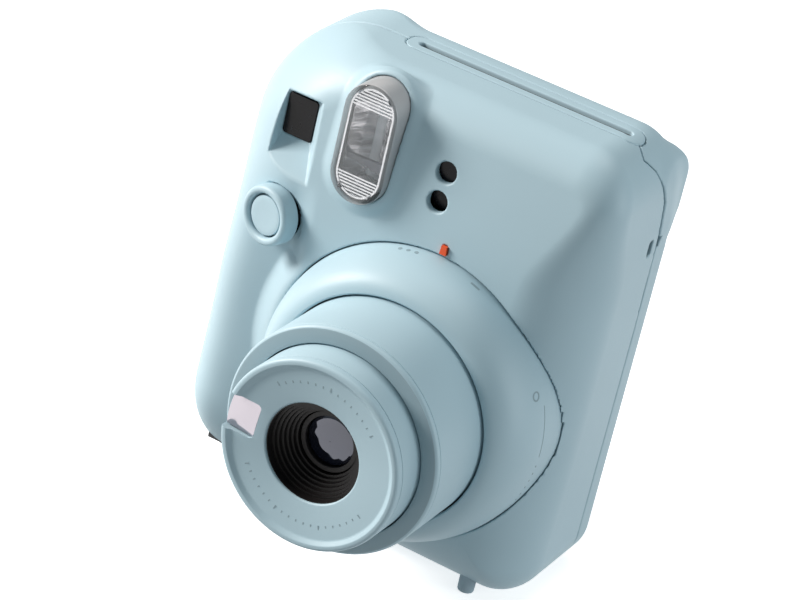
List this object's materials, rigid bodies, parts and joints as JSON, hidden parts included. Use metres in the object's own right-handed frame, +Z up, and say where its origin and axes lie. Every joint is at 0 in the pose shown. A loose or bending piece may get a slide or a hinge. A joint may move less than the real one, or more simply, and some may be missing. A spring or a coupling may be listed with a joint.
{
  "type": "instant camera",
  "caption": "Compact instant film camera with a twist-out stepped lens, domed mode ring, upright flash, film slot on top and a hinged back door.",
  "frame": {"origin": "on the casing's flat base, under the middle of the casing's width and depth", "axes": "+Z up, lens looking along -Y, +X to the right when facing the front"},
  "size_m": [0.104, 0.0931, 0.122],
  "materials": {
    "shell_plastic": "fine matte moulded plastic",
    "barrel_plastic": "satin moulded plastic",
    "foot_rubber": "matte soft rubber",
    "black_plastic": "matte black",
    "mark_orange": "satin",
    "clear_plastic": "clear moulded",
    "amber_plastic": "clear tinted",
    "smoked_plastic": "smoked, glossy",
    "lens_glass": "coated, polished",
    "tube_glass": "clear",
    "mirror_plate": "polished",
    "reflector_metal": "polished",
    "plated_steel": "plated",
    "roller_steel": "ground",
    "gear_plastic": "natural acetal",
    "pinion_brass": "machined",
    "board_green": "solder mask",
    "part_dark": "sleeved",
    "cell_label": "printed sleeve",
    "film_white": "satin"
  },
  "bodies": {
    "casing": {"front_shell": "shell_plastic", "rear_shell": "shell_plastic", "rubber_feet": "foot_rubber", "case_screws": "plated_steel", "strap_bar": "barrel_plastic", "index_mark": "mark_orange", "barrel_guide": "black_plastic", "flash_window": "clear_plastic", "flash_reflector": "reflector_metal", "flash_tube": "tube_glass", "flash_capacitor": "part_dark", "sensor_windows": "smoked_plastic", "light_sensors": "part_dark", "viewfinder_window": "smoked_plastic", "viewfinder_tube": "black_plastic", "viewfinder_lens": "lens_glass", "eyepiece_frame": "black_plastic", "button_ring": "shell_plastic", "shutter_switch": "black_plastic", "main_board": "board_green", "chassis": "black_plastic", "light_box": "black_plastic", "film_pack": "black_plastic", "film_sheets": "film_white", "exit_panel": "shell_plastic", "roller_frame": "plated_steel", "gear_axle": "plated_steel", "motor": "plated_steel", "motor_bracket": "plated_steel", "battery_box": "black_plastic", "battery_cells": "cell_label", "battery_contacts": "plated_steel", "door_hinge_pin": "plated_steel"},
    "mode_ring": {"mode_ring": "shell_plastic"},
    "outer_barrel": {"outer_barrel": "barrel_plastic"},
    "inner_barrel": {"inner_barrel": "shell_plastic", "front_ring": "shell_plastic", "selfie_mirror": "mirror_plate", "lens_cone": "black_plastic", "front_lens": "lens_glass", "lens_cell": "black_plastic", "shutter_plate": "black_plastic", "rear_baffle": "black_plastic", "rear_lens": "lens_glass"},
    "shutter_blade_upper": {"shutter_blade_upper": "black_plastic"},
    "shutter_blade_lower": {"shutter_blade_lower": "black_plastic"},
    "shutter_button": {"shutter_button": "shell_plastic"},
    "ejection_claw": {"ejection_claw": "plated_steel"},
    "exit_flap": {"exit_flap": "black_plastic"},
    "drive_roller": {"drive_roller": "roller_steel"},
    "pinch_roller": {"pinch_roller": "roller_steel"},
    "idler_gear": {"idler_gear": "gear_plastic"},
    "motor_pinion": {"motor_pinion": "pinion_brass"},
    "battery_door": {"battery_door": "shell_plastic"},
    "back_door": {"back_door": "shell_plastic", "film_window": "amber_plastic", "counter_window": "clear_plastic", "pressure_springs": "plated_steel"},
    "door_latch": {"door_latch": "barrel_plastic"},
    "counter_disc": {"counter_disc": "film_white"}
  },
  "joints": [
    {"name": "mode_ring_turn", "type": "hinge", "parent": "casing", "child": "mode_ring", "pos_m": [0.012, -0.03, 0.0476], "axis": [0, 1, 0], "range_deg": [-66, 11]},
    {"name": "outer_barrel_slide", "type": "slide", "parent": "casing", "child": "outer_barrel", "axis": [0, -1, 0], "range_m": [-0.01605, 0.0028]},
    {"name": "inner_barrel_slide", "type": "slide", "parent": "outer_barrel", "child": "inner_barrel", "axis": [0, -1, 0], "range_m": [-0.00955, 0.0017]},
    {"name": "upper_blade_swing", "type": "hinge", "parent": "inner_barrel", "child": "shutter_blade_upper", "pos_m": [0.025, -0.0475, 0.0476], "axis": [0, 1, 0], "range_deg": [0, 45], "stiffness_Nm_per_rad": 0.0005},
    {"name": "lower_blade_swing", "type": "hinge", "parent": "inner_barrel", "child": "shutter_blade_lower", "pos_m": [-0.001, -0.0475, 0.0476], "axis": [0, 1, 0], "range_deg": [0, 45]},
    {"name": "shutter_button_press", "type": "slide", "parent": "casing", "child": "shutter_button", "axis": [0, 1, 0], "range_m": [0, 0.0012], "stiffness_N_per_m": 600, "springref_m": -0.0008},
    {"name": "ejection_claw_slide", "type": "slide", "parent": "casing", "child": "ejection_claw", "axis": [0, 0, 1], "range_m": [0, 0.006], "stiffness_N_per_m": 60, "springref_m": -0.004},
    {"name": "exit_flap_swing", "type": "hinge", "parent": "casing", "child": "exit_flap", "pos_m": [0.012, 0.00965, 0.1202], "axis": [-1, 0, 0], "range_deg": [0, 75], "stiffness_Nm_per_rad": 0.0003, "springref_deg": -17.19},
    {"name": "drive_roller_spin", "type": "hinge", "parent": "casing", "child": "drive_roller", "pos_m": [0, 0.00447, 0.108], "axis": [1, 0, 0], "continuous": true},
    {"name": "pinch_roller_spin", "type": "hinge", "parent": "casing", "child": "pinch_roller", "pos_m": [0, 0.01353, 0.108], "axis": [1, 0, 0], "continuous": true},
    {"name": "idler_gear_spin", "type": "hinge", "parent": "casing", "child": "idler_gear", "pos_m": [0, 0.00757, 0.0995], "axis": [1, 0, 0], "continuous": true},
    {"name": "motor_pinion_spin", "type": "hinge", "parent": "casing", "child": "motor_pinion", "pos_m": [0, 0.00757, 0.08745], "axis": [1, 0, 0], "continuous": true},
    {"name": "battery_door_swing", "type": "hinge", "parent": "casing", "child": "battery_door", "pos_m": [-0.051, 0.0124, 0.037], "axis": [0, 0, -1], "range_deg": [0, 100]},
    {"name": "back_door_swing", "type": "hinge", "parent": "casing", "child": "back_door", "pos_m": [0.0474, 0.0246, 0.05], "axis": [0, 0, -1], "range_deg": [0, 100]},
    {"name": "door_latch_slide", "type": "slide", "parent": "back_door", "child": "door_latch", "axis": [0, 0, -1], "range_m": [0, 0.004], "stiffness_N_per_m": 150, "springref_m": -0.003},
    {"name": "counter_disc_turn", "type": "hinge", "parent": "back_door", "child": "counter_disc", "pos_m": [-0.013, 0.0254, 0.024], "axis": [0, 1, 0], "range_deg": [0, 300]}
  ],
  "couplings": [
    {"joint": "outer_barrel_slide", "follows": "mode_ring_turn", "m_per_rad": 0.01389},
    {"joint": "inner_barrel_slide", "follows": "mode_ring_turn", "m_per_rad": 0.008247},
    {"joint": "lower_blade_swing", "follows": "upper_blade_swing", "ratio": 1},
    {"joint": "pinch_roller_spin", "follows": "drive_roller_spin", "ratio": -1},
    {"joint": "idler_gear_spin", "follows": "drive_roller_spin", "ratio": -2},
    {"joint": "motor_pinion_spin", "follows": "drive_roller_spin", "ratio": 6}
  ]
}
